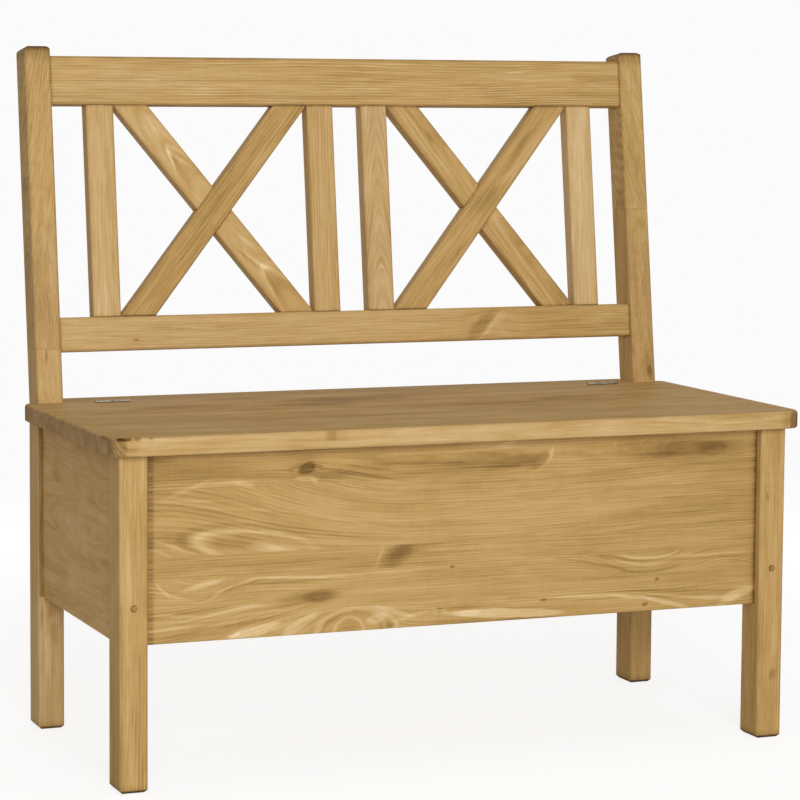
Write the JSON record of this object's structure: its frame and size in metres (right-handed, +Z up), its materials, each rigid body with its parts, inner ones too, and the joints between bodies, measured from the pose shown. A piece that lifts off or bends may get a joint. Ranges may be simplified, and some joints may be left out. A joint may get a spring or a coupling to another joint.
{
  "type": "storage bench",
  "caption": "Pine storage bench: a hinged seat board lifts off a closed box on square legs, under a raked back with crossed panels.",
  "frame": {"origin": "centre of the bench's bounding box at floor level", "axes": "+X to the right of someone facing the front, +Y to the back, +Z up"},
  "size_m": [0.995, 0.5306, 0.9547],
  "materials": {
    "leg_wood": "waxed pine",
    "back_wood": "waxed pine",
    "panel_wood": "waxed pine",
    "seat_wood": "waxed pine",
    "inner_wood": "unfinished pine",
    "peg_wood": "end grain, waxed",
    "hinge_metal": "nickel plated",
    "screw_metal": "nickel plated"
  },
  "bodies": {
    "frame": {"rear_post_left": "leg_wood", "rear_post_right": "leg_wood", "front_leg_left": "leg_wood", "front_leg_right": "leg_wood", "top_rail": "back_wood", "lower_back_rail": "back_wood", "back_slat_1": "back_wood", "back_slat_2": "back_wood", "back_slat_3": "back_wood", "back_slat_4": "back_wood", "cross_left_front": "back_wood", "cross_left_rear": "back_wood", "cross_right_front": "back_wood", "cross_right_rear": "back_wood", "front_panel": "panel_wood", "side_panel_left": "panel_wood", "side_panel_right": "panel_wood", "back_panel": "panel_wood", "hinge_rail": "seat_wood", "box_floor": "inner_wood", "floor_cleat_front": "inner_wood", "floor_cleat_rear": "inner_wood", "floor_cleat_left": "inner_wood", "floor_cleat_right": "inner_wood", "leg_pegs": "peg_wood", "hinge_left_fixed_leaf": "hinge_metal", "hinge_left_pin": "hinge_metal", "hinge_right_fixed_leaf": "hinge_metal", "hinge_right_pin": "hinge_metal"},
    "lid": {"lid": "seat_wood", "lid_batten_left": "inner_wood", "lid_batten_right": "inner_wood", "hinge_left_moving_leaf": "hinge_metal", "hinge_right_moving_leaf": "hinge_metal"}
  },
  "joints": [
    {"name": "lid_hinge", "type": "hinge", "parent": "frame", "child": "lid", "pos_m": [0, 0.13851, 0.461], "axis": [-1, 0, 0], "range_deg": [0, 99]}
  ]
}
